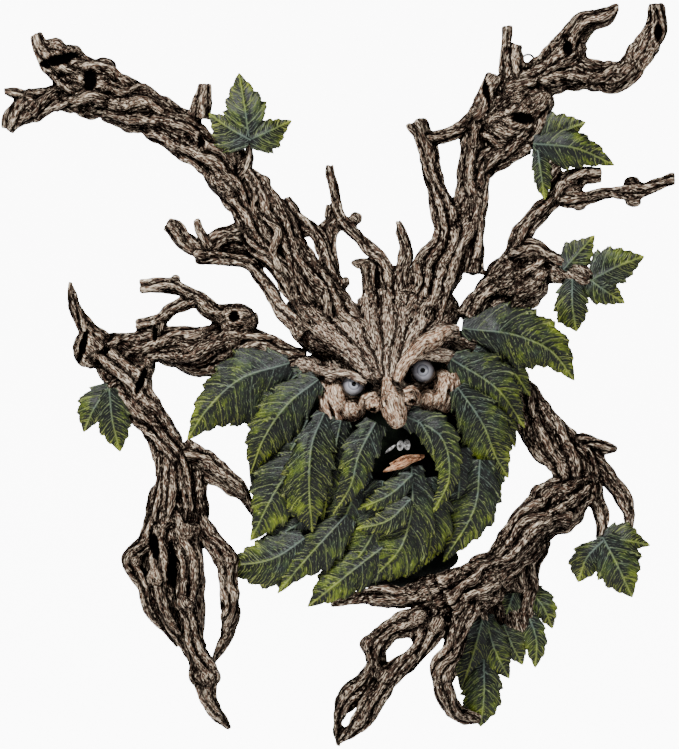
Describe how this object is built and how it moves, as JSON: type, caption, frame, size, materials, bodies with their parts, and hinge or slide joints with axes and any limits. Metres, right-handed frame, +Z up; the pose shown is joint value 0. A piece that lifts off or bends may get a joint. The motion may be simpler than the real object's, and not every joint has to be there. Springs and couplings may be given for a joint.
{
  "type": "tree face sculpture",
  "caption": "Wall-hung cast resin tree spirit: a scowling bark face with a beard of leaves, forked antler branches, two twig-fingered arms and wire hangers.",
  "frame": {"origin": "on the flat back of the casting, on the wall plane, behind the bridge of the nose", "axes": "+Z up the wall, +X to the viewer's right, -Y out of the wall towards the viewer"},
  "size_m": [0.4532, 0.0922, 0.4983],
  "materials": {
    "bark": "cast resin painted dark brown and dry-brushed with cream, matt",
    "leaf_paint": "cast resin painted dark blue-green to olive with pale veins, satin",
    "eye_paint": "painted resin eyes and teeth, grey-white, satin",
    "hanger_wire": "dull bent steel wire"
  },
  "bodies": {
    "root": {"tree_face": "bark", "hanger_right": "hanger_wire", "hanger_left": "hanger_wire"}
  },
  "joints": []
}
